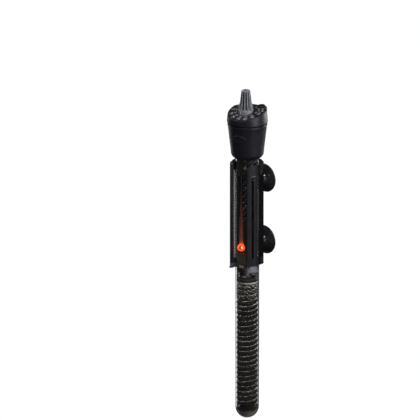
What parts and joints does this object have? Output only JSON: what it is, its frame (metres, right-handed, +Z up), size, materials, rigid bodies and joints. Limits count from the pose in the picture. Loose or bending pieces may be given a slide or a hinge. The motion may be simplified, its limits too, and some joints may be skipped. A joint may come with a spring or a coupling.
{
  "type": "submersible aquarium heater",
  "caption": "Glass-tube aquarium heater with a sloped dial head, tall fluted knob, neon lamp, wound element and a clip bracket on suction cups.",
  "frame": {"origin": "on the tank wall, midway between the two suction cups", "axes": "+Z up along the glass tube towards the knob, +Y into the tank wall, -Y towards the lamp side"},
  "size_m": [0.0426, 0.0483, 0.3616],
  "materials": {
    "bracket_plastic": "satin moulded",
    "cup_rubber": "smooth moulded",
    "glass": "clear drawn tube",
    "head_plastic": "satin moulded",
    "seal_rubber": "smooth moulded",
    "block_ceramic": "unglazed",
    "plated_steel": "nickel plated",
    "brass": "turned",
    "board": "pressed fibre board",
    "carrier_plastic": "moulded",
    "black_card": "pressed black card",
    "magnet": "sintered",
    "lamp_glass": "blown",
    "lamp_glow": "lit neon electrodes",
    "lamp_sleeve": "translucent sleeve",
    "resistor_body": "lacquered",
    "lead_insulation": "braided sleeve",
    "mica": "split mica",
    "core_ceramic": "unglazed, heat darkened",
    "resistance_wire": "oxidised resistance wire",
    "cushion": "mineral wool felt",
    "knob_plastic": "satin moulded"
  },
  "bodies": {
    "bracket": {"bracket": "bracket_plastic", "suction_cup_upper": "cup_rubber", "suction_cup_lower": "cup_rubber"},
    "heater": {"glass_tube": "glass", "head_body": "head_plastic", "head_cap": "head_plastic", "head_seal": "seal_rubber", "tube_o_ring": "seal_rubber", "tube_stopper": "seal_rubber", "cord_gland": "seal_rubber", "terminal_block": "block_ceramic", "terminal_screws": "plated_steel", "spindle_seal": "seal_rubber", "seal_washer": "brass", "plunger_guide": "board", "insulating_card": "black_card", "thermostat_carrier": "carrier_plastic", "carrier_eyelets": "plated_steel", "blade_anchor": "board", "anchor_rivets": "plated_steel", "contact_arm": "plated_steel", "fixed_contact": "brass", "snap_magnet": "magnet", "neon_lamp": "lamp_glass", "lamp_electrodes": "lamp_glow", "lamp_sleeve": "lamp_sleeve", "lamp_leads": "plated_steel", "lamp_resistor": "resistor_body", "thermal_fuse": "block_ceramic", "supply_leads": "lead_insulation", "heat_shield": "board", "shield_spacer": "plated_steel", "tie_rod_nuts": "plated_steel", "core_tie_rod": "plated_steel", "element_terminals": "plated_steel", "core_top_disc": "mica", "ceramic_core": "core_ceramic", "heating_wire": "resistance_wire", "core_bottom_disc": "mica", "end_cushion": "cushion"},
    "knob": {"adjustment_knob": "knob_plastic", "knob_spindle": "plated_steel"},
    "plunger": {"adjusting_plunger": "brass"},
    "blade": {"bimetal_blade": "plated_steel", "moving_contact": "brass"}
  },
  "joints": [
    {"name": "heater_slide", "type": "slide", "parent": "bracket", "child": "heater", "axis": [0, 0, 1], "range_m": [-0.004, 0.14]},
    {"name": "knob_turn", "type": "hinge", "parent": "heater", "child": "knob", "pos_m": [0, -0.0294, 0.111], "axis": [0, 0, 1], "range_deg": [-137.5, 137.5]},
    {"name": "plunger_travel", "type": "slide", "parent": "heater", "child": "plunger", "axis": [0, 0, 1], "range_m": [-0.00038, 0.00038]},
    {"name": "blade_flex", "type": "hinge", "parent": "heater", "child": "blade", "pos_m": [0, -0.0251, -0.0184], "axis": [-1, 0, 0], "range_deg": [0, 2.5], "stiffness_Nm_per_rad": 0.05}
  ],
  "couplings": [
    {"joint": "knob_turn", "follows": "plunger_travel", "rad_per_m": 6283.2}
  ]
}
